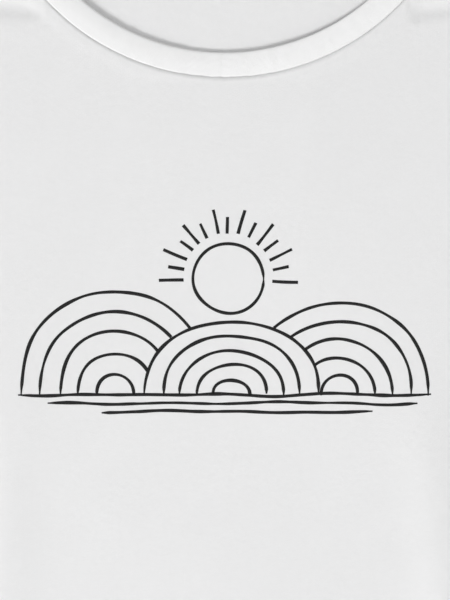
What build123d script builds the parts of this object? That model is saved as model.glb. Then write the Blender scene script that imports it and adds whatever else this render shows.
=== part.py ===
from build123d import *
import os
from math import asin, cos, degrees, radians, sin, sqrt

# A crew-neck T-shirt of cotton jersey, lying flat on its back with its front upwards.
# Lengths are in millimetres. X runs across the shirt, towards the wearer's left, Y runs from
# the hem to the neck and Z is up. The outlines are drawn with the hem at Y = 0 and the middle
# of the shirt at X = 0, and the layout plane centres them on the origin, on the floor.

# Cloth
cloth = 0.6  # one layer of jersey
slack = 3.0  # air left between the front layer and the back layer
sewing_gap = 0.2  # between two edges that are sewn edge to edge

# Body
hem_width = 500.0
chest_width = 480.0  # from underarm to underarm
underarm_height = 440.0  # above the hem
shoulder_width = 420.0
shoulder_height = 640.0  # of the shoulder point, above the hem
armhole_bow = 26.0  # how far the armhole curves in towards the body

# Neck
neck_width = 249.0  # between the two ends of the shoulder seams
front_neck_height = 585.0  # lowest point of the front neck seam, above the hem
front_neck_drop = 88.0  # from the shoulder seam's end down to that point
neck_side_radius = 60.0  # the tight part of the front neck seam, beside the shoulder
back_neck_drop = 20.0
band_width = 15.0  # folded double

# Sleeves
sleeve_length = 190.0  # along the fold on top
sleeve_angle = -28.0  # of that fold, in degrees below X
cuff_width = 160.0  # the sleeve's mouth, laid flat

# Sewing
seam_allowance = 7.0  # at the side, shoulder and underarm seams
join_allowance = 6.0  # of the neck band and sleeves, under the panels they are sewn to
join_lap = 3.0  # of the sleeve's own edge over its allowance
join_clearance = 3.0  # an allowance stops this far short of the next seam
hem_depth = 20.0
fold_wall = 1.2  # the sleeve's cloth where it turns over at the top fold
tape_width = 10.0  # over the back neck seam, on the inside
tape_lap = 2.5  # the part of it that covers the band
tape_thickness = 0.5
tape_half_length = 111.0

# Heights above the floor
back_top = cloth
front_bottom = back_top + slack
front_top = front_bottom + cloth
mid_height = (back_top + front_bottom) / 2  # the front and back allowances meet here

# The ends of the seams on the wearer's left side
neck_height = front_neck_height + front_neck_drop
neck_end = Vector(neck_width / 2, neck_height)
shoulder_end = Vector(shoulder_width / 2, shoulder_height)
underarm = Vector(chest_width / 2, underarm_height)
hem_end = Vector(hem_width / 2, 0)

# The front neck seam is one wide arc with a tighter one at each side, which ends upright
side_centre = Vector(neck_width / 2 - neck_side_radius, neck_height)
front_radius = (side_centre.X**2 + front_neck_drop**2 - neck_side_radius**2) / (
    2 * (front_neck_drop - neck_side_radius)
)
front_centre = Vector(0, front_neck_height + front_radius)
front_reach = degrees(asin(side_centre.X / (front_radius - neck_side_radius)))

# The back neck seam is one shallow arc
back_radius = ((neck_width / 2) ** 2 + back_neck_drop**2) / (2 * back_neck_drop)
back_centre = Vector(0, neck_height - back_neck_drop + back_radius)
back_reach = degrees(asin(neck_width / 2 / back_radius))

# The sleeve's mouth hangs square from its top fold
fold_direction = Vector(cos(radians(sleeve_angle)), sin(radians(sleeve_angle)))
cuff_direction = Vector(fold_direction.Y, -fold_direction.X)
cuff_top = shoulder_end + fold_direction * sleeve_length
cuff_bottom = cuff_top + cuff_direction * cuff_width

# The band's upper corners are the highest points of the shirt
band_corner = back_centre + Vector(sin(radians(back_reach)), -cos(radians(back_reach))) * (
    back_radius - band_width
)
garment_length = band_corner.Y
layout = Plane((0, -garment_length / 2, 0))


def draw_front_neck(inset):
    """The left half of the front neck curve, `inset` inside its seam, from the middle outwards."""
    CenterArc(front_centre, front_radius - inset, -90, front_reach)
    CenterArc(side_centre, neck_side_radius - inset, front_reach - 90, 90 - front_reach)


def draw_back_neck(inset):
    """The left half of the back neck curve, `inset` inside its seam, from the middle outwards."""
    CenterArc(back_centre, back_radius - inset, -90, back_reach)


def draw_armhole(shift):
    """The armhole curve from the shoulder to the underarm, moved `shift` away from the body."""
    offset = Vector(shift, 0)
    middle = (shoulder_end + underarm) / 2 - Vector(armhole_bow, 0)
    ThreePointArc(shoulder_end + offset, middle + offset, underarm + offset)


def between(lower, upper, mode=Mode.ADD):
    """Fill the strip between two drawn curves that run the same way, closing its ends."""
    with BuildLine() as ends:
        Line(lower.line @ 0, upper.line @ 0)
        Line(lower.line @ 1, upper.line @ 1)
    make_face(lower.edges() + upper.edges() + ends.edges(), mode=mode)


def neck_strip(draw_neck, outer, inner, mode=Mode.ADD):
    """The left half of a strip along the neck, from `outer` outside the seam to `inner` inside."""
    with BuildLine() as lower:
        draw_neck(-outer)
    with BuildLine() as upper:
        draw_neck(inner)
    between(lower, upper, mode)


def armhole_strip(outer, inner, mode=Mode.ADD):
    """A strip along the left armhole, from `outer` on the sleeve to `inner` on the body."""
    with BuildLine() as lower:
        draw_armhole(-inner)
    with BuildLine() as upper:
        draw_armhole(outer)
    between(lower, upper, mode)


def straight_strip(start, end, width):
    """A flat strip along a straight edge, on the left of its direction."""
    inward = (end - start).normalized().rotate(Axis.Z, 90) * width
    with BuildLine() as outline:
        Polyline(start, end, end + inward, start + inward, close=True)
    make_face(outline.edges())


def left_of_panel(draw_neck, mode=Mode.ADD):
    """The left half of a front or back panel, with its neck cut out."""
    with BuildLine() as outline:
        draw_neck(0)
        Line(outline.line @ 0, (0, 0))
        Line((0, 0), hem_end)
        Line(hem_end, underarm)
        draw_armhole(0)
        Line(shoulder_end, neck_end)
    make_face(outline.edges(), mode=mode)


def sleeve_outline(mode=Mode.ADD):
    """One layer of the left sleeve, laid flat."""
    gap = Vector(sewing_gap, 0)
    with BuildLine() as outline:
        draw_armhole(sewing_gap)
        Polyline(underarm + gap, cuff_bottom, cuff_top, shoulder_end + gap)
    make_face(outline.edges(), mode=mode)


def panel_margins(draw_neck):
    """The sewn margins at the side and shoulder seams, clear of the band's and the sleeves'."""
    straight_strip(hem_end, underarm, seam_allowance)
    straight_strip(shoulder_end, neck_end, seam_allowance)
    left_of_panel(draw_neck, Mode.INTERSECT)
    neck_strip(draw_neck, join_allowance + join_clearance, 0, Mode.SUBTRACT)
    armhole_strip(0, join_allowance + join_clearance, Mode.SUBTRACT)
    mirror(about=Plane.YZ)


def hem_margin(draw_neck):
    """The turned-up margin along the hem."""
    straight_strip(Vector(0, 0), Vector(hem_end.X, 0), hem_depth)
    left_of_panel(draw_neck, Mode.INTERSECT)
    mirror(about=Plane.YZ)


def sleeve_margin():
    """The sleeve's margin under the body, clear of the shoulder and side seams."""
    clear = join_allowance + join_clearance
    armhole_strip(join_lap, join_allowance)
    with Locations((underarm + shoulder_end) / 2):
        height = shoulder_end.Y - underarm.Y - 2 * clear
        Rectangle(shoulder_width, height, mode=Mode.INTERSECT)


def band_corner_piece():
    """Where the band turns over from the front to the back, above the end of the shoulder seam."""
    inner_x = neck_end.X - band_width
    inner_y = back_centre.Y - sqrt((back_radius - band_width) ** 2 - inner_x**2)
    outer_end = neck_end - Vector(sewing_gap, 0)
    with BuildLine() as outline:
        Polyline(outer_end, band_corner, (inner_x, inner_y), (inner_x, neck_end.Y), close=True)
    make_face(outline.edges())
    mirror(about=Plane.YZ)


# Front panel: one layer, with its seam margins and turned-up hem on the inside
with BuildPart() as front_body:
    with BuildSketch(layout.offset(front_bottom)):
        left_of_panel(draw_front_neck)
        mirror(about=Plane.YZ)
    extrude(amount=cloth)
    with BuildSketch(layout.offset(mid_height)):
        panel_margins(draw_front_neck)
    extrude(amount=front_bottom - mid_height)
    with BuildSketch(layout.offset(front_bottom - cloth)):
        hem_margin(draw_front_neck)
    extrude(amount=cloth)
front_body.part.label = "front_body"

# Back panel: the same, with its margins upwards
with BuildPart() as back_body:
    with BuildSketch(layout):
        left_of_panel(draw_back_neck)
        mirror(about=Plane.YZ)
    extrude(amount=cloth)
    with BuildSketch(layout.offset(back_top)):
        panel_margins(draw_back_neck)
    extrude(amount=mid_height - back_top)
    with BuildSketch(layout.offset(back_top)):
        hem_margin(draw_back_neck)
    extrude(amount=cloth)
back_body.part.label = "back_body"

# Neck band: a ring of double cloth, high along the front and low along the back
with BuildPart() as neck_band:
    with BuildSketch(layout.offset(front_top - 2 * cloth)):
        neck_strip(draw_front_neck, -sewing_gap, band_width)
        mirror(about=Plane.YZ)
    extrude(amount=2 * cloth)
    with BuildSketch(layout.offset(front_bottom - cloth)):
        neck_strip(draw_front_neck, join_allowance, join_lap)
        with Locations((0, neck_height / 2 - join_clearance)):
            Rectangle(2 * neck_width, neck_height, mode=Mode.INTERSECT)
        mirror(about=Plane.YZ)
    extrude(amount=cloth)
    with BuildSketch(layout):
        neck_strip(draw_back_neck, -sewing_gap, band_width)
        mirror(about=Plane.YZ)
    extrude(amount=2 * cloth)
    with BuildSketch(layout.offset(back_top)):
        neck_strip(draw_back_neck, join_allowance, join_lap)
        mirror(about=Plane.YZ)
    extrude(amount=cloth)
    with BuildSketch(layout):
        band_corner_piece()
    extrude(amount=front_top)
neck_band.part.label = "neck_band"

# Neck tape: covers the back neck seam on the inside, from shoulder to shoulder
with BuildPart() as neck_tape:
    with BuildSketch(layout.offset(2 * cloth)):
        neck_strip(draw_back_neck, tape_width - tape_lap, tape_lap)
        mirror(about=Plane.YZ)
        with Locations((0, neck_height)):
            Rectangle(2 * tape_half_length, neck_width, mode=Mode.INTERSECT)
    extrude(amount=tape_thickness)
neck_tape.part.label = "neck_tape"

# Left sleeve: one piece of cloth folded along the top and sewn along the underarm
with BuildPart() as left_sleeve:
    with BuildSketch(layout, layout.offset(front_bottom)):
        sleeve_outline()
    extrude(amount=cloth)
    with BuildSketch(layout):
        straight_strip(cuff_top, shoulder_end, fold_wall)
        straight_strip(underarm, cuff_bottom, seam_allowance)
        sleeve_outline(Mode.INTERSECT)
    extrude(amount=front_top)
    with BuildSketch(layout.offset(back_top), layout.offset(front_bottom - cloth)):
        straight_strip(cuff_bottom, cuff_top, hem_depth)
        sleeve_outline(Mode.INTERSECT)
        sleeve_margin()
    extrude(amount=cloth)
left_sleeve.part.label = "left_sleeve"

# Right sleeve: the left one mirrored
with BuildPart() as right_sleeve:
    mirror(left_sleeve.part, about=Plane.YZ)
right_sleeve.part.label = "right_sleeve"

os.makedirs("parts", exist_ok=True)
for piece in (front_body, back_body, neck_band, neck_tape, left_sleeve, right_sleeve):
    export_step(piece.part, f"parts/{piece.part.label}.step")
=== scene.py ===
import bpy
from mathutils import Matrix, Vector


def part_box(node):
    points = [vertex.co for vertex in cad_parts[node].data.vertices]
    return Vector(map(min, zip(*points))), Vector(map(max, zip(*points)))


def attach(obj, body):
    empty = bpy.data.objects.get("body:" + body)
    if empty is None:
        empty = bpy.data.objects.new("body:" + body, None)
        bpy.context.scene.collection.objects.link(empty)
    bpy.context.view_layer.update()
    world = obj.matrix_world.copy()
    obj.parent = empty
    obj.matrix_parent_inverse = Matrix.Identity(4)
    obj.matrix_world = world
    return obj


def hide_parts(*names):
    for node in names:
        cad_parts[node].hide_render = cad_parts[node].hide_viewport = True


bl_info = {
    "name": "Laid-out T-shirt",
    "version": (1, 0, 0),
    "blender": (4, 5, 0),
    "location": "3D View > Sidebar > T-shirt",
    "description": "Builds a white crew-neck T-shirt that lies flat on its back, with a print on its chest",
    "category": "Add Mesh",
}

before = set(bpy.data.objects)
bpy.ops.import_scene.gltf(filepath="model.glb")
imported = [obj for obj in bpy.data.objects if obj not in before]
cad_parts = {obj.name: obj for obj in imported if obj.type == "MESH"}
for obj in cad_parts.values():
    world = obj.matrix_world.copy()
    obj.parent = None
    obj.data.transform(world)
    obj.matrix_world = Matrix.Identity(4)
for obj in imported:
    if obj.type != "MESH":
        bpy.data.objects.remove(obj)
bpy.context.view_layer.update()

from math import asin, atan2, ceil, cos, exp, hypot, pi, radians, sin, sqrt, tau

import bmesh
import bpy
from bpy.props import FloatProperty, FloatVectorProperty, PointerProperty
from mathutils import Vector, noise
from mathutils.bvhtree import BVHTree

FRONT_LOW, FRONT_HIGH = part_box("front_body")
DRAPED = "draped_cloth"
BODY, LEFT, RIGHT = range(3)  # which piece a face of the draped cloth belongs to
UP = Vector((0, 0, 1))


def length(name, default, description):
    """A size that a user can set, in metres."""
    return FloatProperty(name=name, default=default, unit="LENGTH", precision=4, description=description)


def colour(name, default, description):
    """A colour that a user can set."""
    return FloatVectorProperty(
        name=name, default=default, subtype="COLOR", min=0, max=1, description=description
    )


# ---- Sizes and looks -----------------------------------------------------------------------


class ShirtPattern(bpy.types.PropertyGroup):
    hem_width: length("Hem width", FRONT_HIGH.x - FRONT_LOW.x, "Width of the hem, laid flat")
    chest_width: length("Chest width", 0.48, "Width between the underarms")
    underarm_height: length("Underarm height", 0.44, "Underarm above the hem")
    shoulder_width: length("Shoulder width", 0.42, "Width between the shoulder points")
    shoulder_height: length("Shoulder height", 0.64, "Shoulder points above the hem")
    armhole_bow: length("Armhole bow", 0.026, "How far the armhole curves into the body")
    neck_width: length("Neck width", 0.249, "Width between the ends of the shoulder seams")
    front_neck_height: length("Front neck height", 0.585, "Front neck seam above the hem")
    front_neck_drop: length("Front neck drop", 0.088, "Front neck seam below the shoulder")
    back_neck_drop: length("Back neck drop", 0.02, "Back neck seam below the shoulder")
    neck_side_radius: length("Neck side radius", 0.06, "Radius of the neck beside the shoulder")
    band_width: length("Band width", 0.015, "Width of the folded neck band")
    sleeve_length: length("Sleeve length", 0.19, "Length of a sleeve along its top fold")
    sleeve_angle: FloatProperty(
        name="Sleeve angle", default=radians(-28), subtype="ANGLE", description="Slope of the top fold"
    )
    cuff_width: length("Cuff width", 0.16, "Width of a sleeve's mouth, laid flat")
    hem_depth: length("Hem depth", 0.02, "Depth of the turned-up hems")
    tape_width: length("Tape width", 0.01, "Width of the tape inside the back neck")
    tape_half_length: length("Tape half length", 0.111, "Half the tape's width across the shirt")


class ShirtCloth(bpy.types.PropertyGroup):
    thickness: length("Cloth thickness", 0.0005, "One layer of jersey")
    front_lift: length("Front lift", 0.0034, "Height of the front layer where it lies smooth")
    back_lift: length("Back lift", 0.0006, "Height of the back layer's inner face")
    seam_lift: length("Seam lift", 0.0016, "Height of the seams at the shirt's edge")
    side_slack: FloatProperty(name="Side slack", default=0.04, description="Extra cloth across the sides")
    hem_slack: FloatProperty(name="Hem slack", default=0.03, description="Extra cloth up the lower body")
    sleeve_slack: FloatProperty(name="Sleeve slack", default=0.06, description="Extra cloth in a sleeve")
    jersey: colour("Jersey", (0.885, 0.885, 0.887), "Colour of the knitted body cloth")
    band: colour("Band", (0.88, 0.88, 0.88), "Colour of the neck band")
    tape: colour("Tape", (0.84, 0.84, 0.83), "Colour of the neck tape")
    thread: colour("Thread", (0.9, 0.9, 0.9), "Colour of the sewing thread")


class ShirtPrint(bpy.types.PropertyGroup):
    width: length("Print width", 0.247, "Width of the printed drawing")
    below_seam: length("Below neck seam", 0.190, "The drawing's ground line below the front neck seam")
    stroke: length("Stroke", 0.0019, "Usual width of a brush stroke")
    ink: colour("Ink", (0.012, 0.012, 0.012), "Colour of the printing ink")


class ShirtStudio(bpy.types.PropertyGroup):
    floor: colour("Floor", (0.62, 0.63, 0.64), "Colour of the floor and backdrop")
    view_height: length("View height", 0.36, "Height of cloth that the camera takes in")
    view_distance: length("View distance", 2.4, "From the camera to the cloth")
    view_centre: length("View centre", 0.4518, "The middle of the view above the hem")


# ---- The cutting pattern, laid flat with its hem at y = 0 ------------------------------------


class Pattern:
    """Outlines of the shirt's panels. Each edge is a function of how far along it is, 0 to 1."""

    top_share = 0.64  # of a panel's columns, those that end on the neck

    def __init__(self, sizes, body_rows, armhole_rows):
        self.sizes = sizes
        self.side_share = body_rows / (body_rows + armhole_rows)
        self.hem_end = Vector((sizes.hem_width / 2, 0))
        self.underarm = Vector((sizes.chest_width / 2, sizes.underarm_height))
        self.shoulder_end = Vector((sizes.shoulder_width / 2, sizes.shoulder_height))
        self.neck_height = sizes.front_neck_height + sizes.front_neck_drop
        self.neck_end = Vector((sizes.neck_width / 2, self.neck_height))
        across, drop, radius = sizes.neck_width / 2, sizes.front_neck_drop, sizes.neck_side_radius
        self.side_centre = Vector((across - radius, self.neck_height))
        self.front_radius = (self.side_centre.x**2 + drop**2 - radius**2) / (2 * (drop - radius))
        self.front_centre = Vector((0, sizes.front_neck_height + self.front_radius))
        self.front_reach = asin(self.side_centre.x / (self.front_radius - radius))
        self.back_radius = (across**2 + sizes.back_neck_drop**2) / (2 * sizes.back_neck_drop)
        self.back_centre = Vector((0, self.neck_height - sizes.back_neck_drop + self.back_radius))
        self.back_reach = asin(across / self.back_radius)
        self.along_sleeve = Vector((cos(sizes.sleeve_angle), sin(sizes.sleeve_angle)))
        down_cuff = Vector((self.along_sleeve.y, -self.along_sleeve.x))
        self.cuff_top = self.shoulder_end + self.along_sleeve * sizes.sleeve_length
        self.cuff_bottom = self.cuff_top + down_cuff * sizes.cuff_width
        self.bend_armhole()

    def bend_armhole(self):
        """The circle through the underarm and the shoulder that bows into the body."""
        chord = self.shoulder_end - self.underarm
        bow = self.sizes.armhole_bow
        self.armhole_radius = (chord.length**2 / 4 + bow**2) / (2 * bow)
        outward = Vector((chord.y, -chord.x)).normalized()
        middle = (self.shoulder_end + self.underarm) / 2
        self.armhole_centre = middle + outward * (self.armhole_radius - bow)
        self.armhole_reach = 2 * asin(chord.length / 2 / self.armhole_radius)
        start = self.underarm - self.armhole_centre
        self.armhole_start = atan2(start.y, start.x)

    def front_neck(self, t, inset=0.0):
        """Point of the front neck curve, from the middle to the shoulder."""
        wide = self.front_radius * self.front_reach
        tight = self.sizes.neck_side_radius * (pi / 2 - self.front_reach)
        run = t * (wide + tight)
        if run <= wide:
            angle = run / self.front_radius
            centre, radius = self.front_centre, self.front_radius
        else:
            angle = self.front_reach + (run - wide) / self.sizes.neck_side_radius
            centre, radius = self.side_centre, self.sizes.neck_side_radius
        return centre + Vector((sin(angle), -cos(angle))) * (radius - inset)

    def back_neck(self, t, inset=0.0):
        """Point of the back neck curve, from the middle to the shoulder."""
        angle = t * self.back_reach
        return self.back_centre + Vector((sin(angle), -cos(angle))) * (self.back_radius - inset)

    def armhole(self, t):
        """Point of the armhole curve, from the underarm to the shoulder."""
        angle = self.armhole_start - t * self.armhole_reach
        return self.armhole_centre + Vector((cos(angle), sin(angle))) * self.armhole_radius

    def panel(self, neck, across, up):
        """Point of a body panel: across is -1 to 1, up is 0 at the hem and 1 at the top."""
        u = abs(across)
        if u < self.top_share:
            top = neck(u / self.top_share)
        else:
            top = self.neck_end.lerp(self.shoulder_end, (u - self.top_share) / (1 - self.top_share))
        if up <= self.side_share:
            edge = self.hem_end.lerp(self.underarm, up / self.side_share)
        else:
            edge = self.armhole((up - self.side_share) / (1 - self.side_share))
        middle = neck(0)
        point = middle * up * (1 - u) + edge * u + self.hem_end * u * (1 - up) + top * up
        point -= self.hem_end * u * (1 - up) + middle * up * (1 - u) + self.shoulder_end * u * up
        return Vector((point.x if across >= 0 else -point.x, point.y))

    def sleeve(self, side, along, up):
        """Point of a sleeve layer: along is 0 at the armhole, up is 0 at the underarm."""
        inner, outer = self.armhole(up), self.cuff_bottom.lerp(self.cuff_top, up)
        low, high = self.underarm.lerp(self.cuff_bottom, along), self.shoulder_end.lerp(self.cuff_top, along)
        point = inner * (1 - along) + outer * along + low * (1 - up) + high * up
        corners = self.underarm * (1 - along) * (1 - up) + self.cuff_bottom * along * (1 - up)
        corners += self.shoulder_end * (1 - along) * up + self.cuff_top * along * up
        point -= corners
        return Vector((point.x * side, point.y))


def smooth_step(low, high, value):
    """0 below low, 1 above high, and a soft ramp between."""
    t = min(max((value - low) / (high - low), 0.0), 1.0)
    return t * t * (3 - 2 * t)


BODY_ROWS, ARMHOLE_ROWS, BODY_COLUMNS, SLEEVE_COLUMNS = 76, 35, 90, 34


def shirt():
    """The scene's shirt settings, and its pattern."""
    scene = bpy.context.scene
    return scene.shirt_cloth, Pattern(scene.shirt_pattern, BODY_ROWS, ARMHOLE_ROWS)


def lay(point, height):
    """Where a point of the flat pattern lies in the row's frame: edges wander a few millimetres."""
    away = smooth_step(0.10, 0.30, hypot(point.x, 0.8 * (point.y - 0.5)))
    spot = Vector((point.x * 5, point.y * 5, 0))
    drift = noise.noise_vector(spot) * 0.006 * away
    return Vector((point.x + drift.x, FRONT_LOW.y + point.y + drift.y * 0.6, height))


# ---- Draping the upper layer -----------------------------------------------------------------


def add_grid(bm, columns, rows, place, tag, grain):
    """A grid whose corners are -1 and 1, moved to its place on the pattern, with its UVs."""
    uv = bm.loops.layers.uv.verify()
    made = bmesh.ops.create_grid(bm, x_segments=columns, y_segments=rows, size=1)["verts"]
    for vert in made:
        vert.co = place(vert.co.x, (vert.co.y + 1) / 2).to_3d()
    for face in {face for vert in made for face in vert.link_faces}:
        face.material_index = tag
        for loop in face.loops:
            flat = loop.vert.co.to_2d()
            loop[uv].uv = Vector((flat.dot(Vector((grain.y, -grain.x))), flat.dot(grain)))
    return made


def upper_layer(pattern):
    """The front and both sleeves' upper sides, sewn together at the armholes."""
    bm = bmesh.new()
    upright = Vector((0, 1))
    add_grid(bm, BODY_COLUMNS, BODY_ROWS + ARMHOLE_ROWS,
             lambda across, up: pattern.panel(pattern.front_neck, across, up), BODY, upright)
    for side, tag in ((1, LEFT), (-1, RIGHT)):
        grain = Vector((pattern.along_sleeve.x * side, pattern.along_sleeve.y))
        add_grid(bm, SLEEVE_COLUMNS, ARMHOLE_ROWS,
                 lambda across, up: pattern.sleeve(side, (across + 1) / 2, up), tag, grain)
    bmesh.ops.remove_doubles(bm, verts=bm.verts, dist=0.00005)
    bmesh.ops.recalc_face_normals(bm, faces=bm.faces)
    if sum(face.normal.z for face in bm.faces) < 0:
        bmesh.ops.reverse_faces(bm, faces=bm.faces)
    return bm


def sewn_edge(pattern, vert):
    """True on the seams and folds at the shirt's outline, which stay down on the floor."""
    x, y = abs(vert.co.x), vert.co.y
    if not vert.is_boundary:
        return False
    on_hem = y < 0.0005 and x < pattern.hem_end.x - 0.001
    on_neck = x < pattern.neck_end.x - 0.001
    cuff = Vector((x, y)) - pattern.cuff_top
    on_cuff = abs(cuff.dot(pattern.along_sleeve)) < 0.0005 and 0.001 < cuff.length < 0.999 * (
        pattern.sizes.cuff_width
    )
    return not (on_hem or on_neck or on_cuff)


def with_slack(cloth, pattern, point):
    """The same point on a pattern cut with the slack that makes the folds."""
    x, y = point.x, point.y
    side = 1 if x >= 0 else -1
    body = min(abs(x), pattern.shoulder_end.x)
    sleeve = max(abs(x) - pattern.shoulder_end.x, 0)
    grow_x = cloth.side_slack * max(body - 0.12, 0) + cloth.sleeve_slack * sleeve
    grow_y = -cloth.hem_slack * max(0.30 - y, 0) - cloth.sleeve_slack * sleeve * 0.5
    return Vector((x + side * grow_x, y + grow_y, 0))


def drape():
    """Let the upper layer settle under its own weight, and keep it for the pieces cut from it."""
    cloth, pattern = shirt()
    bm = upper_layer(pattern)
    sewn = [sewn_edge(pattern, vert) for vert in bm.verts]
    flat = [vert.co.copy() for vert in bm.verts]
    mesh = bpy.data.meshes.new(DRAPED)
    bm.to_mesh(mesh)
    bm.free()
    layer = bpy.data.objects.new("upper_layer", mesh)
    bpy.context.collection.objects.link(layer)
    layer.shape_key_add(name="laid")
    slack = layer.shape_key_add(name="slack")
    for index, point in enumerate(flat):
        ripple = noise.noise(Vector((point.x * 14, point.y * 9, 3.0))) * 0.0012
        if sewn[index]:
            height = cloth.seam_lift + 0.001 * (1 - smooth_step(0.01, 0.05, point.y))
        else:
            height = cloth.front_lift + 0.0012 + ripple
        place = lay(point, height)
        mesh.vertices[index].co = place
        layer.data.shape_keys.key_blocks["laid"].data[index].co = place
        slack.data[index].co = with_slack(cloth, pattern, point)
    settle(layer, [index for index, pinned in enumerate(sewn) if pinned], slack)
    mesh = bpy.data.meshes[DRAPED]
    layer.shape_key_clear()
    bpy.data.objects.remove(layer)
    mesh.use_fake_user = True


def settle(layer, pinned, slack):
    """Blender's Cloth on the upper layer, resting on the back layer; the result goes in its mesh."""
    cloth = bpy.context.scene.shirt_cloth
    pins = layer.vertex_groups.new(name="sewn")
    pins.add(pinned, 1.0, "ADD")
    bpy.ops.mesh.primitive_plane_add(size=2, location=(0, 0, cloth.front_lift - 0.0022))
    rest = bpy.context.object
    rest.modifiers.new("Collision", "COLLISION")
    rest.collision.thickness_outer = 0.001
    rest.collision.cloth_friction = 8
    modifier = layer.modifiers.new("Cloth", "CLOTH")
    settings = modifier.settings
    settings.quality = 7
    settings.mass = 0.15
    settings.air_damping = 2
    settings.tension_stiffness = settings.compression_stiffness = 40
    settings.shear_stiffness = 12
    settings.bending_stiffness = 0.6
    settings.vertex_group_mass = pins.name
    settings.rest_shape_key = slack
    modifier.collision_settings.distance_min = 0.001
    modifier.collision_settings.collision_quality = 2
    last = 40
    modifier.point_cache.frame_start, modifier.point_cache.frame_end = 1, last
    scene = bpy.context.scene
    for step in range(1, last + 1):
        scene.frame_set(step)
    settled = layer.evaluated_get(bpy.context.evaluated_depsgraph_get()).data
    places = [vert.co.copy() for vert in settled.vertices]
    scene.frame_set(1)
    layer.modifiers.clear()
    layer.shape_key_clear()
    for vert, place in zip(layer.data.vertices, places):
        vert.co = place
    bpy.data.objects.remove(rest)


# ---- Cutting, turning and sewing the pieces ----------------------------------------------------


def cut_out(tag):
    """The draped cloth of one piece, with its pattern still in its UVs."""
    bm = bmesh.new()
    bm.from_mesh(bpy.data.meshes[DRAPED])
    others = [face for face in bm.faces if face.material_index != tag]
    bmesh.ops.delete(bm, geom=others, context="FACES")
    for face in bm.faces:
        face.material_index = 0
    return bm


def new_object(bm, name):
    """An object at the origin that holds the mesh, smoothly shaded."""
    mesh = bpy.data.meshes.new(name)
    bm.to_mesh(mesh)
    bm.free()
    mesh.shade_smooth()
    piece = bpy.data.objects.new(name, mesh)
    bpy.context.collection.objects.link(piece)
    return piece


def apply_modifiers(piece):
    """Replace a piece's mesh by what its modifiers make of it."""
    graph = bpy.context.evaluated_depsgraph_get()
    mesh = bpy.data.meshes.new_from_object(piece.evaluated_get(graph))
    piece.modifiers.clear()
    piece.data = mesh
    return piece


def refined(bm, name):
    """The mesh with one subdivision, as a new bmesh."""
    piece = new_object(bm, name)
    subdivision = piece.modifiers.new("Subdivision", "SUBSURF")
    subdivision.levels = subdivision.render_levels = 1
    subdivision.boundary_smooth = "PRESERVE_CORNERS"
    apply_modifiers(piece)
    finer = bmesh.new()
    finer.from_mesh(piece.data)
    bpy.data.objects.remove(piece)
    return finer


def thicken(piece, thickness, offset=-1.0):
    """Give a sheet its thickness, below its outer face."""
    wall = piece.modifiers.new("Cloth thickness", "SOLIDIFY")
    wall.thickness = thickness
    wall.offset = offset
    return apply_modifiers(piece)


def flat_places(bm):
    """Where each vertex lies on the flat pattern, from its UVs."""
    uv = bm.loops.layers.uv.verify()
    return {vert: vert.link_loops[0][uv].uv.copy() for vert in bm.verts}


def outward_of(bm):
    """The plan direction that points out of the cloth at each vertex of its edge."""
    total = {}
    for edge in bm.edges:
        if not edge.is_boundary:
            continue
        middle = (edge.verts[0].co + edge.verts[1].co) / 2
        along = (edge.verts[1].co - edge.verts[0].co).normalized()
        away = middle - edge.link_faces[0].calc_center_median()
        away -= along * away.dot(along)
        away.z = 0
        for vert in edge.verts:
            total[vert] = total.get(vert, Vector()) + away.normalized()
    return {vert: direction.normalized() for vert, direction in total.items()}


def turn_edge(bm, chosen, outward, steps):
    """Turn an edge over, one narrow strip a step: each is how far out, and its height there."""
    edges = [edge for edge in bm.edges if edge.is_boundary and all(vert in chosen for vert in edge.verts)]
    starts = {tuple(vert.co): (vert.co.copy(), outward[vert]) for vert in chosen}
    for out, height_of in steps:
        made = bmesh.ops.extrude_edge_only(bm, edges=edges)["geom"]
        following = {}
        for vert in (item for item in made if isinstance(item, bmesh.types.BMVert)):
            start, away = starts[tuple(vert.co)]
            place = start + away * out
            place.z = height_of(start.z)
            vert.co = place
            following[tuple(place)] = (start, away)
        starts = following
        edges = [item for item in made if isinstance(item, bmesh.types.BMEdge) and item.is_boundary]
        edges = [edge for edge in edges if all(tuple(vert.co) in starts for vert in edge.verts)]


def front_relief(x, y):
    """Soft height of the smooth chest: two long folds and the creases beside the neck."""
    ridge = 0.0026 * exp(-((abs(x) - 0.128 - 0.02 * noise.noise(Vector((y * 3, x, 0)))) / 0.016) ** 2)
    ridge *= 1 - smooth_step(0.33, 0.43, y)
    rise = y - 0.6245 - 0.10 * (abs(x) - 0.108)
    crease = -0.0018 * exp(-((rise / 0.0042) ** 2)) * smooth_step(0.107, 0.118, abs(x))
    crease *= 1 - smooth_step(0.135, 0.165, abs(x))
    broad = 0.0015 * noise.noise(Vector((x * 8, y * 6, 9.0)))
    return ridge + crease + broad


def pucker(run, distance, pitch, height):
    """Small gathers along a seam that fade away from it."""
    wave = noise.noise(Vector((run / pitch, 0, 5.0)))
    return wave * height * exp(-distance / 0.007)


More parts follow.
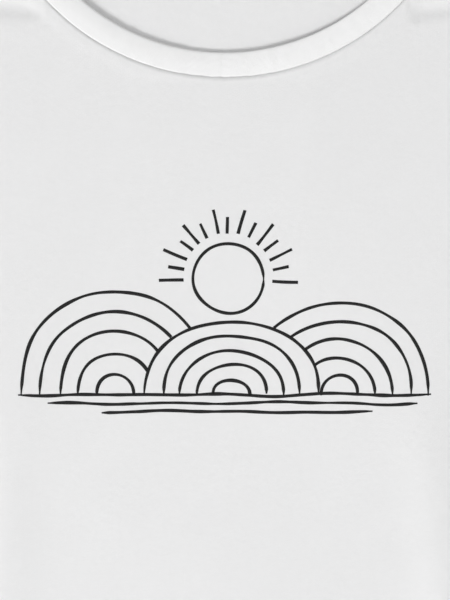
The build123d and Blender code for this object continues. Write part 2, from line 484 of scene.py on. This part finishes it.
def make_front():
    cloth, pattern = shirt()
    bm = refined(cut_out(BODY), "front_panel")
    flat = flat_places(bm)
    lift = cloth.front_lift - 0.0029
    armhole_reach = pattern.armhole_radius
    for vert in bm.verts:
        x, y = flat[vert]
        inside = smooth_step(0.0, 0.012, pattern.hem_end.x - abs(x) - 0.02 * smooth_step(0, 0.44, y) / 2)
        vert.co.z += (front_relief(x, y) + lift) * inside
        vert.co.z += pucker(x, abs(y - 0.019), 0.007, 0.0007)
        from_neck = hypot(x, y - pattern.front_centre.y) - pattern.front_radius
        if y > pattern.front_centre.y - pattern.front_radius and abs(x) < 0.11:
            vert.co.z += 0.0004 * (1 - smooth_step(0.004, 0.010, from_neck))
            vert.co.z += pucker(x, from_neck, 0.006, 0.0004)
        centre = pattern.armhole_centre
        from_armhole = hypot(abs(x) - centre.x, y - centre.y) - armhole_reach
        if y > pattern.underarm.y:
            vert.co.z += 0.0005 * (1 - smooth_step(0.004, 0.010, from_armhole))
            vert.co.z += pucker(y, from_armhole, 0.009, 0.0008)
    outward = outward_of(bm)
    hem = {vert for vert in outward if flat[vert].y < 0.0006}
    open_edges = {vert for vert in outward if on_armhole(pattern, flat[vert]) or on_neck(pattern, flat[vert])}
    sides = {vert for vert in outward if is_outline(pattern, flat[vert])}
    gauge = 2.2 * cloth.thickness
    turn_edge(bm, hem, outward, [
        (0.00035, lambda z: z - 0.2 * gauge),
        (0.00045, lambda z: z - 0.5 * gauge),
        (0.00035, lambda z: z - 0.8 * gauge),
        (-0.0004, lambda z: z - gauge),
        (-pattern.sizes.hem_depth, lambda z: z - gauge),
    ])
    turn_edge(bm, open_edges, outward, [
        (0.00012, lambda z: z - 0.0003),
        (0.00005, lambda z: z - 0.0007),
    ])
    turn_edge(bm, sides, outward, [
        (0.0005, lambda z: 0.6 * z + 0.4 * 0.0012),
        (0.0007, lambda z: 0.0012),
    ])
    return thicken(new_object(bm, "front_panel"), cloth.thickness)


def on_armhole(pattern, flat):
    """True on the armhole seam."""
    centre = pattern.armhole_centre
    near = abs(hypot(abs(flat.x) - centre.x, flat.y - centre.y) - pattern.armhole_radius) < 0.0008
    return near and pattern.underarm.y - 0.0008 < flat.y < pattern.shoulder_end.y + 0.0008


def on_neck(pattern, flat, back=False):
    """True on the front or back neck seam."""
    if abs(flat.x) > pattern.neck_end.x + 0.0004:
        return False
    if back:
        away = hypot(flat.x, flat.y - pattern.back_centre.y) - pattern.back_radius
        return abs(away) < 0.0008
    wide = hypot(flat.x, flat.y - pattern.front_centre.y) - pattern.front_radius
    tight = hypot(abs(flat.x) - pattern.side_centre.x, flat.y - pattern.side_centre.y)
    return abs(wide) < 0.0008 or abs(tight - pattern.sizes.neck_side_radius) < 0.0008


def is_outline(pattern, flat):
    """True on the side and shoulder seams."""
    x, y = abs(flat.x), flat.y
    if x > pattern.neck_end.x - 0.0004 and y > pattern.shoulder_end.y - 0.0008:
        return True
    return y < pattern.underarm.y + 0.0008 and x > pattern.underarm.x - 0.0008


def make_back():
    cloth, pattern = shirt()
    bm = bmesh.new()
    add_grid(bm, BODY_COLUMNS, BODY_ROWS + ARMHOLE_ROWS,
             lambda across, up: pattern.panel(pattern.back_neck, across, up), 0, Vector((0, 1)))
    for vert in bm.verts:
        x, y = vert.co.x, vert.co.y
        ripple = 0.0006 * (0.5 + 0.5 * noise.noise(Vector((x * 11, y * 13, 2.0))))
        ripple *= smooth_step(0.0, 0.03, pattern.hem_end.x - abs(x) - 0.01)
        vert.co = lay(vert.co, cloth.back_lift + ripple)
    bm.normal_update()
    bm = refined(bm, "back_panel")
    flat = flat_places(bm)
    outward = outward_of(bm)
    hem = {vert for vert in outward if flat[vert].y < 0.0006}
    neck = {vert for vert in outward if on_neck(pattern, flat[vert], back=True)}
    sides = {vert for vert in outward if is_outline(pattern, flat[vert])} - neck
    turn_edge(bm, hem, outward, [
        (0.00015, lambda z: z + 0.00005),
        (0.00015, lambda z: z + 0.00015),
        (-0.0005, lambda z: z + 0.0002),
        (-pattern.sizes.hem_depth, lambda z: z + 0.0002),
    ])
    turn_edge(bm, sides, outward, [
        (0.0003, lambda z: z + 0.0002),
        (0.0006, lambda z: 0.0011),
    ])
    return thicken(new_object(bm, "back_panel"), cloth.thickness)


def make_sleeve(side):
    """One sleeve: its draped upper layer, joined at the top fold and under the arm to a lower one."""
    cloth, pattern = shirt()
    name = "sleeve_left" if side > 0 else "sleeve_right"
    bm = cut_out(LEFT if side > 0 else RIGHT)
    uv = bm.loops.layers.uv.verify()
    grain = Vector((pattern.along_sleeve.x * side, pattern.along_sleeve.y))
    across = Vector((grain.y, -grain.x))
    bottom = cloth.back_lift - cloth.thickness
    made = bmesh.ops.duplicate(bm, geom=bm.verts[:] + bm.edges[:] + bm.faces[:])["geom"]
    lower = [item for item in made if isinstance(item, bmesh.types.BMFace)]
    lower_verts = {item for item in made if isinstance(item, bmesh.types.BMVert)}
    for vert in lower_verts:
        vert.co.z = bottom
    bmesh.ops.reverse_faces(bm, faces=lower)

    def place(vert):
        flat = vert.link_loops[0][uv].uv
        point = across * flat.x + grain * flat.y
        return Vector((abs(point.x), point.y))

    def near_line(vert, start, end):
        direction = (end - start).normalized()
        off = place(vert) - start
        return abs(off.x * direction.y - off.y * direction.x) < 0.0006

    outward = outward_of(bm)
    for start, end in ((pattern.shoulder_end, pattern.cuff_top), (pattern.underarm, pattern.cuff_bottom)):
        seam = [edge for edge in bm.edges if edge.is_boundary
                and all(near_line(vert, start, end) for vert in edge.verts)]
        upper = [edge for edge in seam if edge.verts[0] not in lower_verts]
        under = [edge for edge in seam if edge.verts[0] in lower_verts]
        made = bmesh.ops.extrude_edge_only(bm, edges=upper)["geom"]
        rim = [item for item in made if isinstance(item, bmesh.types.BMVert)]
        by_place = {tuple(vert.co): outward[vert] for edge in upper for vert in edge.verts}
        for vert in rim:
            vert.co += by_place[tuple(vert.co)] * 0.0008
            vert.co.z = (vert.co.z + bottom) / 2
        rim = set(rim)
        middle = [edge for edge in bm.edges if edge.is_boundary and all(vert in rim for vert in edge.verts)]
        bmesh.ops.bridge_loops(bm, edges=middle + under)
    bmesh.ops.recalc_face_normals(bm, faces=bm.faces)
    bm = refined(bm, name)
    uv = bm.loops.layers.uv.verify()
    outward = outward_of(bm)
    direction = pattern.along_sleeve
    cuff = {vert for vert in outward if (place(vert) - pattern.cuff_top).dot(direction) > -0.0008}
    armhole = {vert for vert in outward if vert not in cuff}
    middle = (cloth.front_lift + bottom) / 2
    gauge = 2.2 * cloth.thickness

    def turned(share):
        return lambda z: z - share * gauge if z > middle - 0.0006 else z + share * gauge * 0.9

    turn_edge(bm, cuff, outward, [
        (0.00035, turned(0.2)), (0.00045, turned(0.5)), (0.00035, turned(0.8)), (-0.0004, turned(1.0)),
        (-pattern.sizes.hem_depth, turned(1.0)),
    ])
    turn_edge(bm, armhole, outward, [(0.00012, lambda z: z - 0.0003 if z > middle else z + 0.0003)])
    return thicken(new_object(bm, name), cloth.thickness)


class Surface:
    """Heights of the upper face of a piece, read by rays from above."""

    def __init__(self, pieces):
        self.trees = []
        for piece in pieces:
            bm = bmesh.new()
            bm.from_mesh(piece.data)
            self.trees.append(BVHTree.FromBMesh(bm))
            bm.free()

    def on(self, place, above=0.0):
        """The point of the surface over or under a place, and the normal there."""
        start = Vector((place.x, place.y, 0.1))
        hits = [tree.ray_cast(start, -UP) for tree in self.trees]
        hits = [hit for hit in hits if hit[0] is not None]
        if not hits:
            return None, UP
        best = max(hits, key=lambda hit: hit[0].z)
        return best[0] + UP * above, best[1]


def band_station(cloth, pattern, surface, around):
    """The seam point, the direction to the band's inner edge and its outer side, -1 to 1 round."""
    front_end, back_start = 0.54, 0.60
    side, run = (1 if around >= 0 else -1), abs(around)
    low = 0.00078
    tiny = 0.001
    if run < front_end:
        t = run / front_end
        seam, inner = pattern.front_neck(t), pattern.front_neck(t, tiny)
        probe = lay(pattern.front_neck(t, -0.0015), 0)
        probe.x *= side
        hit, _ = surface.on(probe)
        height = hit.z - 0.0007 if hit else cloth.front_lift
        height += (cloth.seam_lift + 0.0009 - height) * smooth_step(0.9, 1.0, t)
        toward, roll = (inner - seam).normalized(), 0.0
    elif run > back_start:
        t = (1 - run) / (1 - back_start)
        seam, inner = pattern.back_neck(t), pattern.back_neck(t, tiny)
        height, toward, roll = low, (inner - seam).normalized(), pi
    else:
        t = (run - front_end) / (back_start - front_end)
        turn = pi + (pi / 2 + pattern.back_reach - pi) * t
        seam, toward, roll = pattern.neck_end, Vector((cos(turn), sin(turn))), pi * t
        high = cloth.seam_lift + 0.0009
        height = (high + low) / 2 + (high - low) / 2 * cos(roll)
    out = Vector((toward.y, -toward.x, 0))
    facing = UP * cos(roll) + out * sin(roll)
    start = lay(seam, height) + out * 0.0008 * sin(roll)
    toward = toward.to_3d()
    for vector in (start, toward, facing):
        vector.x *= side
    return start, toward, facing


def make_band(surface):
    """The neck band: a strip folded double that runs round the neck and turns over at each shoulder."""
    cloth, pattern = shirt()
    width, half = pattern.sizes.band_width, 0.00038
    straight, bend = width - half, pi * half
    whole = 2 * straight + bend
    bm = bmesh.new()
    uv = bm.loops.layers.uv.verify()
    stations, profile = 320, 26
    columns = {}
    made = bmesh.ops.create_grid(bm, x_segments=stations, y_segments=profile, size=1)["verts"]
    for vert in made:
        around, run = vert.co.x, (vert.co.y + 1) / 2 * whole
        for loop in vert.link_loops:
            loop[uv].uv = (around * 0.31, run)
        key = round(around, 5)
        if key not in columns:
            columns[key] = band_station(cloth, pattern, surface, around)
        start, toward, facing = columns[key]
        if run < straight:
            inward, rise = run, half
        elif run < straight + bend:
            angle = (run - straight) / half
            inward, rise = straight + half * sin(angle), half * cos(angle)
        else:
            inward, rise = whole - run, -half
        fullness = 0.00045 * sin(pi * min(inward / width, 1)) if rise > 0 else 0
        fullness *= 1 + 0.25 * noise.noise(Vector((around * 40, inward * 80, 1.0)))
        vert.co = start + toward * (inward + 0.0003) + facing * (rise + fullness)
    bmesh.ops.remove_doubles(bm, verts=bm.verts, dist=0.00004)
    bmesh.ops.recalc_face_normals(bm, faces=bm.faces)
    return thicken(new_object(bm, "collar_band"), 0.0005, offset=0.0)


def make_tape():
    """The tape over the back neck seam."""
    _, pattern = shirt()
    sizes = pattern.sizes
    reach = asin(sizes.tape_half_length / pattern.back_radius) / pattern.back_reach
    bm = bmesh.new()
    uv = bm.loops.layers.uv.verify()
    made = bmesh.ops.create_grid(bm, x_segments=110, y_segments=5, size=1)["verts"]
    for vert in made:
        across, up = vert.co.x, (vert.co.y + 1) / 2
        inset = -0.0075 + sizes.tape_width * up
        point = pattern.back_neck(abs(across) * reach, inset)
        point.x = point.x if across >= 0 else -point.x
        for loop in vert.link_loops:
            loop[uv].uv = (across * sizes.tape_half_length, inset)
        bulge = 0.0002 * sin(pi * up) + 0.00012 * noise.noise(Vector((across * 9, up, 4.0)))
        vert.co = lay(point, 0.0019 + bulge)
    bmesh.ops.recalc_face_normals(bm, faces=bm.faces)
    if sum(face.normal.z for face in bm.faces) < 0:
        bmesh.ops.reverse_faces(bm, faces=bm.faces)
    return thicken(new_object(bm, "neck_tape_strip"), 0.0004)


# ---- Stitches ------------------------------------------------------------------------------------


def sew(name, surface, rows, pitch=0.0031):
    """A piece of thread: one small grain for each stitch along each row of places."""
    bm = bmesh.new()
    for row in rows:
        run = [0.0]
        for start, end in zip(row, row[1:]):
            run.append(run[-1] + (end - start).length)
        count, index = int(run[-1] / pitch), 0
        for stitch in range(count):
            at = (stitch + 0.5) * pitch
            while run[index + 1] < at:
                index += 1
            start, end = row[index], row[index + 1]
            place = start.lerp(end, (at - run[index]) / (run[index + 1] - run[index]))
            centre, normal = surface.on(place)
            if centre is None:
                continue
            along = (end - start).to_3d()
            along = (along - normal * along.dot(normal)).normalized()
            made = bmesh.ops.create_uvsphere(bm, u_segments=6, v_segments=5, radius=1)["verts"]
            side = normal.cross(along)
            for vert in made:
                x, y, z = vert.co
                vert.co = centre + side * x * 0.00024 + normal * (y * 0.0002 + 0.00004) + along * z * 0.00125
    bmesh.ops.recalc_face_normals(bm, faces=bm.faces)
    return new_object(bm, name)


def line_of(place, count=120):
    """Points along a function of 0 to 1."""
    return [place(step / count).to_2d() for step in range(count + 1)]


def hem_rows():
    """Two rows of stitches, six millimetres apart, along the hem."""
    _, pattern = shirt()
    reach = pattern.hem_end.x - 0.004
    return [line_of(lambda t: lay(Vector((reach * (2 * t - 1), height)), 0)) for height in (0.013, 0.019)]


def cuff_rows(side):
    """The same along a sleeve's mouth."""
    _, pattern = shirt()
    rows = []
    for depth in (0.013, 0.019):
        along = 1 - depth / pattern.sizes.sleeve_length
        rows.append(line_of(lambda t: lay(pattern.sleeve(side, along, 0.03 + 0.94 * t), 0)))
    return rows


def tape_rows():
    """One row of stitches near each edge of the tape."""
    _, pattern = shirt()
    sizes = pattern.sizes
    reach = asin(sizes.tape_half_length / pattern.back_radius) / pattern.back_reach * 0.985

    def place(t, inset):
        across = 2 * t - 1
        point = pattern.back_neck(abs(across) * reach, inset)
        return lay(Vector((point.x if across >= 0 else -point.x, point.y)), 0)

    return [line_of(lambda t: place(t, inset)) for inset in (-0.0062, 0.0012)]


# ---- The print on the chest ---------------------------------------------------------------------


def hill(centre, half_width, height, share):
    """One arch of a hill's outline, `share` of its size."""
    def place(t):
        angle = pi * (1 - t)
        return Vector((centre + half_width * share * cos(angle), height * share * sin(angle) ** 0.85))
    return place


def inside_hill(point, centre, half_width, height):
    """True behind a hill that stands in front."""
    off = (point.x - centre) / half_width
    return abs(off) < 1 and point.y < height * sqrt(1 - off * off) ** 0.85 + 0.0005


def drawing(width):
    """The strokes of the drawing: three hills and a sun with rays, on a ground line."""
    unit = width / 247
    hills = [(4 * unit, 52 * unit, 44 * unit), (-66 * unit, 56 * unit, 62 * unit), (68 * unit, 54 * unit, 55 * unit)]
    strokes = []
    for index, (centre, half_width, height) in enumerate(hills):
        for share in (1.0, 0.8, 0.6, 0.4, 0.2):
            strokes.append((hill(centre, half_width, height, share), hills[:index] if index else []))
    sun, radius = Vector((2 * unit, 70 * unit)), 21 * unit
    strokes.append((lambda t: sun + Vector((cos(tau * t), sin(tau * t))) * radius, hills))
    rays = 15
    for ray in range(rays):
        angle = pi * (ray + 0.5) / rays * 1.1 - 0.05 * pi
        direction = Vector((cos(angle), sin(angle)))
        near, far = radius * 1.28, radius * (1.75 if ray % 2 else 2.0)
        strokes.append((lambda t, d=direction, n=near, f=far: sun + d * (n + (f - n) * t), hills))
    half = width / 2
    for drop, start, end in ((0.0, -1.0, 1.0), (-5 * unit, -0.86, 0.93), (-10 * unit, -0.6, 0.72)):
        strokes.append((lambda t, d=drop, s=start, e=end: Vector((half * (s + (e - s) * t), d)), []))
    return strokes


def ink_strokes(surface):
    """The print: ribbons of ink with a hand's wobble and pressure, laid on the cloth."""
    _, pattern = shirt()
    look = bpy.context.scene.shirt_print
    ground = pattern.sizes.front_neck_height - look.below_seam
    bm = bmesh.new()
    for number, (place, fronts) in enumerate(drawing(look.width)):
        rough = [place(step / 60) for step in range(61)]
        span = sum((b - a).length for a, b in zip(rough, rough[1:]))
        steps = max(int(span / 0.0009), 6)
        rails = []
        for step in range(steps + 1):
            t = step / steps
            point, ahead = place(t), place(min(t + 0.002, 1)) - place(max(t - 0.002, 0))
            spot = Vector((point.x * 30, point.y * 30, number * 3.7))
            point = point + noise.noise_vector(spot).to_2d() * 0.0016
            hidden = any(inside_hill(point, *front) for front in fronts)
            if hidden:
                rails.append(None)
                continue
            sideways = Vector((-ahead.y, ahead.x)).normalized()
            taper = smooth_step(0, 0.03, t) * smooth_step(0, 0.03, 1 - t) if span > 0.03 else 1
            pressure = 1 + 0.35 * noise.noise(Vector((point.x * 90, point.y * 90, number)))
            half = look.stroke / 2 * pressure * (0.45 + 0.55 * taper)
            rails.append([point + sideways * half * share for share in (-1, 0, 1)])
        lay_ribbon(bm, rails, ground, surface)
    bmesh.ops.recalc_face_normals(bm, faces=bm.faces)
    if sum(face.normal.z for face in bm.faces) < 0:
        bmesh.ops.reverse_faces(bm, faces=bm.faces)
    return thicken(new_object(bm, "chest_print"), 0.00012)


def lay_ribbon(bm, rails, ground, surface):
    """Lay one stroke on the cloth, broken where something in front hides it."""
    previous = None
    for rail in rails:
        if rail is None:
            previous = None
            continue
        verts = []
        for point in rail:
            place, _ = surface.on(lay(Vector((point.x, ground + point.y)), 0), 0.00009)
            verts.append(bm.verts.new(place))
        if previous:
            for index in (0, 1):
                bm.faces.new((previous[index], verts[index], verts[index + 1], previous[index + 1]))
        previous = verts


# ---- Materials ------------------------------------------------------------------------------------


class Value:
    """A shader socket that can be used in Python expressions."""

    def __init__(self, tree, socket):
        self.tree, self.socket = tree, socket

    def math(self, operation, *others):
        node = self.tree.nodes.new("ShaderNodeMath")
        node.operation = operation
        for slot, item in zip(node.inputs, others):
            if isinstance(item, Value):
                self.tree.links.new(item.socket, slot)
            else:
                slot.default_value = item
        return Value(self.tree, node.outputs[0])

    def __add__(self, other):
        return self.math("ADD", self, other)

    def __radd__(self, other):
        return self.math("ADD", other, self)

    def __sub__(self, other):
        return self.math("SUBTRACT", self, other)

    def __rsub__(self, other):
        return self.math("SUBTRACT", other, self)

    def __mul__(self, other):
        return self.math("MULTIPLY", self, other)

    def __rmul__(self, other):
        return self.math("MULTIPLY", other, self)

    def __truediv__(self, other):
        return self.math("DIVIDE", self, other)

    def __abs__(self):
        return self.math("ABSOLUTE", self)

    def fract(self):
        return self.math("FRACT", self)

    def cosine(self):
        return self.math("COSINE", self)


class Finish:
    """A material that is being made: its nodes, and the surface shader they feed."""

    def __init__(self, name):
        self.material = bpy.data.materials.new(name)
        self.material.use_nodes = True
        self.tree = self.material.node_tree
        self.shader = self.tree.nodes["Principled BSDF"]

    def node(self, kind, settings=None, **sockets):
        """Any node: its settings first, then the values or links of its sockets."""
        node = self.tree.nodes.new(kind)
        for key, value in (settings or {}).items():
            setattr(node, key, value)
        for key, value in sockets.items():
            slot = next(item for item in node.inputs if item.name == key.replace("_", " ") and item.enabled)
            self.connect(value, slot)
        return node

    def connect(self, value, slot):
        if isinstance(value, Value):
            self.tree.links.new(value.socket, slot)
        elif isinstance(value, bpy.types.NodeSocket):
            self.tree.links.new(value, slot)
        else:
            slot.default_value = value

    def set(self, **sockets):
        """Constants and links of the surface shader."""
        for key, value in sockets.items():
            self.connect(value, self.shader.inputs[key.replace("_", " ")])

    def pattern(self):
        """Where the surface lies on the flat cloth, in metres."""
        place = self.node("ShaderNodeTexCoord").outputs["UV"]
        parts = self.node("ShaderNodeSeparateXYZ", Vector=place)
        return Value(self.tree, parts.outputs["X"]), Value(self.tree, parts.outputs["Y"])

    def fuzz(self, scale, detail=2.0):
        """Soft unevenness, about 0 to 1, in the object's own space."""
        place = self.node("ShaderNodeTexCoord").outputs["Object"]
        cloud = self.node("ShaderNodeTexNoise", Vector=place, Scale=scale, Detail=detail)
        return Value(self.tree, cloud.outputs[0])

    def bump(self, height, distance, strength=1.0):
        """Fine relief that is too small for the mesh."""
        made = self.node("ShaderNodeBump", Height=height, Distance=distance, Strength=strength)
        self.connect(made.outputs[0], self.shader.inputs["Normal"])

    def tint(self, base, dark, share):
        """The base colour, darker where share is high."""
        mix = self.node("ShaderNodeMix", {"data_type": "RGBA"})
        slots = [slot for slot in mix.inputs if slot.enabled]
        self.connect(share, slots[0])
        slots[1].default_value = (*base, 1)
        slots[2].default_value = (*(channel * dark for channel in base), 1)
        self.connect(next(slot for slot in mix.outputs if slot.enabled), self.shader.inputs["Base Color"])


def knitted(name, colour_of, wale, course, relief):
    """Weft-knitted cotton: columns of V-shaped stitches along the cloth's grain."""
    finish = Finish(name)
    across, along = finish.pattern()
    leg = abs((across / wale).fract() - 0.5)
    groove = abs(leg - 0.25) * 4
    stitch = ((along / course + leg * 0.9) * tau).cosine() * 0.5 + 0.5
    height = (1 - groove * groove) * (0.55 + 0.45 * stitch)
    mottle = finish.fuzz(260, 3)
    slub = finish.fuzz(38)
    finish.bump(height + mottle * 0.8, relief)
    # Painted shade: the colour is darker in the low grooves between the stitch columns, where (1 - height) is high;
    # mottle and slub add uneven tone of the yarn.
    finish.tint(colour_of, 0.9, (1 - height) * 0.25 + mottle * 0.3 + slub * 0.18)
    finish.set(Roughness=0.92, Sheen_Weight=0.0)
    finish.shader.inputs["Specular IOR Level"].default_value = 0.0
    return finish.material


def woven(name, colour_of, pitch, relief):
    """Twill tape or thread: fine slanting ribs."""
    finish = Finish(name)
    across, along = finish.pattern()
    rib = ((across / pitch + along / pitch) * tau).cosine() * 0.5 + 0.5
    finish.bump(rib, relief)
    # Painted shade: the colour is darker in the troughs between the ribs, where (1 - rib) is high; the fuzz adds
    # uneven tone.
    finish.tint(colour_of, 0.85, (1 - rib) * 0.5 + finish.fuzz(300) * 0.3)
    finish.set(Roughness=0.85)
    finish.shader.inputs["Specular IOR Level"].default_value = 0.25
    return finish.material


def thread_finish(colour_of):
    """Twisted polyester thread, with a little shine."""
    finish = Finish("sewing_thread")
    ply = finish.fuzz(2200)
    finish.bump(ply, 0.00006)
    finish.tint(colour_of, 0.85, ply * 0.4)
    finish.set(Roughness=0.6)
    return finish.material


def ink_finish(colour_of):
    """Matt printing ink on cloth, with a fine uneven grain in its tone and relief."""
    finish = Finish("printing_ink")
    grain = finish.fuzz(1300, 3)
    finish.bump(grain, 0.00008)
    base = tuple(min(channel * 2, 1) for channel in colour_of)
    finish.tint(base, 0.28, grain * 0.4 + 0.6)
    finish.set(Roughness=0.75)
    finish.shader.inputs["Specular IOR Level"].default_value = 0.25
    return finish.material


def floor_finish(colour_of):
    """Plain pale floor with hardly any texture."""
    finish = Finish("floor")
    finish.tint(colour_of, 0.96, finish.fuzz(3))
    finish.set(Roughness=0.9)
    return finish.material


# ---- Operators, one for each piece or group ---------------------------------------------------


def dress(piece, material, nodes=()):
    """Give a finished piece its material, and tie it to the frame."""
    piece.data.materials.clear()
    piece.data.materials.append(material)
    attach(piece, "root")
    for node in nodes:
        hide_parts(node)


def piece_named(name):
    piece = bpy.data.objects.get(name)
    if piece is None:
        raise RuntimeError(f"{name} has not been made yet")
    return piece


class SHIRT_OT_drape(bpy.types.Operator):
    """Let the shirt's upper layer settle on the floor"""
    bl_idname = "shirt.drape"
    bl_label = "Drape the cloth"

    def execute(self, context):
        drape()
        return {"FINISHED"}


class SHIRT_OT_panels(bpy.types.Operator):
    """Make the front and back panels"""
    bl_idname = "shirt.panels"
    bl_label = "Body panels"

    def execute(self, context):
        look = context.scene.shirt_cloth
        jersey = knitted("cotton_jersey", look.jersey, 0.0008, 0.0006, 0.00022)
        front, back = make_front(), make_back()
        dress(front, jersey, ["front_body"])
        dress(back, jersey, ["back_body"])
        return {"FINISHED"}


class SHIRT_OT_sleeves(bpy.types.Operator):
    """Make both sleeves"""
    bl_idname = "shirt.sleeves"
    bl_label = "Sleeves"

    def execute(self, context):
        jersey = bpy.data.materials["cotton_jersey"]
        for side, node in ((1, "left_sleeve"), (-1, "right_sleeve")):
            sleeve = make_sleeve(side)
            dress(sleeve, jersey, [node])
        return {"FINISHED"}


class SHIRT_OT_collar(bpy.types.Operator):
    """Make the neck band and the tape inside the back neck"""
    bl_idname = "shirt.collar"
    bl_label = "Neck band and tape"

    def execute(self, context):
        look, sizes = context.scene.shirt_cloth, context.scene.shirt_pattern
        surface = Surface([piece_named("front_panel")])
        band, tape = make_band(surface), make_tape()
        dress(band, knitted("neck_rib", look.band, 0.0011, 0.0007, 0.0002), ["neck_band"])
        dress(tape, woven("neck_tape_twill", look.tape, 0.0012, 0.0001), ["neck_tape"])
        return {"FINISHED"}


class SHIRT_OT_stitches(bpy.types.Operator):
    """Sew the rows of stitches along the hem, the cuffs and the neck tape"""
    bl_idname = "shirt.stitches"
    bl_label = "Stitches"

    def execute(self, context):
        thread = thread_finish(context.scene.shirt_cloth.thread)
        rows = [
            ("hem_stitches", "front_panel", hem_rows()),
            ("cuff_stitches_left", "sleeve_left", cuff_rows(1)),
            ("cuff_stitches_right", "sleeve_right", cuff_rows(-1)),
            ("tape_stitches", "neck_tape_strip", tape_rows()),
        ]
        for name, cloth, places in rows:
            stitches = sew(name, Surface([piece_named(cloth)]), places)
            dress(stitches, thread)
        return {"FINISHED"}


class SHIRT_OT_print(bpy.types.Operator):
    """Print the drawing of hills and a sun on the chest"""
    bl_idname = "shirt.print"
    bl_label = "Chest print"

    def execute(self, context):
        ink = ink_strokes(Surface([piece_named("front_panel")]))
        dress(ink, ink_finish(context.scene.shirt_print.ink))
        return {"FINISHED"}


class SHIRT_OT_stage(bpy.types.Operator):
    """Set the floor, the soft lamps and the camera over the chest"""
    bl_idname = "shirt.stage"
    bl_label = "Stage"

    def execute(self, context):
        look = context.scene.shirt_studio
        scene = context.scene
        bm = bmesh.new()
        bmesh.ops.create_grid(bm, x_segments=1, y_segments=1, size=60)
        ground = new_object(bm, "floor")
        ground.data.materials.append(floor_finish(look.floor))
        for name, place, size, power, aim in (
            ("soft_key", (-3.0, -3.0, 3.0), 2.0, 225.0, (0, 0, 0)),
            ("soft_fill", (1.6, 0.6, 2.2), 2.2, 16.0, (0, 0, 0)),
        ):
            lamp = bpy.data.lights.new(name, "AREA")
            lamp.shape, lamp.size, lamp.energy = "DISK", size, power
            holder = bpy.data.objects.new(name, lamp)
            holder.location = place
            holder.rotation_euler = (Vector(aim) - Vector(place)).to_track_quat("-Z", "Y").to_euler()
            scene.collection.objects.link(holder)
        world = bpy.data.worlds.new("studio")
        world.use_nodes = True
        world.node_tree.nodes["Background"].inputs["Color"].default_value = (1, 1, 1, 1)
        world.node_tree.nodes["Background"].inputs["Strength"].default_value = 0.61
        scene.world = world
        camera = bpy.data.cameras.new("camera")
        camera.lens = camera.sensor_width * look.view_distance / look.view_height
        holder = bpy.data.objects.new("camera", camera)
        holder.location = (0, FRONT_LOW.y + look.view_centre, look.view_distance)
        scene.collection.objects.link(holder)
        scene.camera = holder
        scene.view_settings.view_transform = "Standard"
        return {"FINISHED"}


class SHIRT_PT_sidebar(bpy.types.Panel):
    """The shirt's sizes and the steps that make it"""
    bl_label = "T-shirt"
    bl_space_type = "VIEW_3D"
    bl_region_type = "UI"
    bl_category = "T-shirt"

    def draw(self, context):
        for name, group in GROUPS.items():
            box = self.layout.box()
            box.label(text=name.replace("shirt_", "").capitalize())
            for field in group.__annotations__:
                box.prop(getattr(context.scene, name), field)
        for step in STEPS:
            self.layout.operator(step.bl_idname)


GROUPS = {
    "shirt_pattern": ShirtPattern,
    "shirt_cloth": ShirtCloth,
    "shirt_print": ShirtPrint,
    "shirt_studio": ShirtStudio,
}
STEPS = (
    SHIRT_OT_stage,
    SHIRT_OT_drape,
    SHIRT_OT_panels,
    SHIRT_OT_sleeves,
    SHIRT_OT_collar,
    SHIRT_OT_stitches,
    SHIRT_OT_print,
)


def register():
    for item in (*GROUPS.values(), *STEPS, SHIRT_PT_sidebar):
        bpy.utils.register_class(item)
    for name, group in GROUPS.items():
        setattr(bpy.types.Scene, name, PointerProperty(type=group))


def unregister():
    for name in GROUPS:
        delattr(bpy.types.Scene, name)
    for item in reversed((*GROUPS.values(), *STEPS, SHIRT_PT_sidebar)):
        bpy.utils.unregister_class(item)


def main():
    register()
    bpy.ops.shirt.stage()
    bpy.ops.shirt.drape()
    bpy.ops.shirt.panels()
    bpy.ops.shirt.sleeves()
    bpy.ops.shirt.collar()
    bpy.ops.shirt.stitches()
    bpy.ops.shirt.print()


if __name__ == "__main__":
    main()
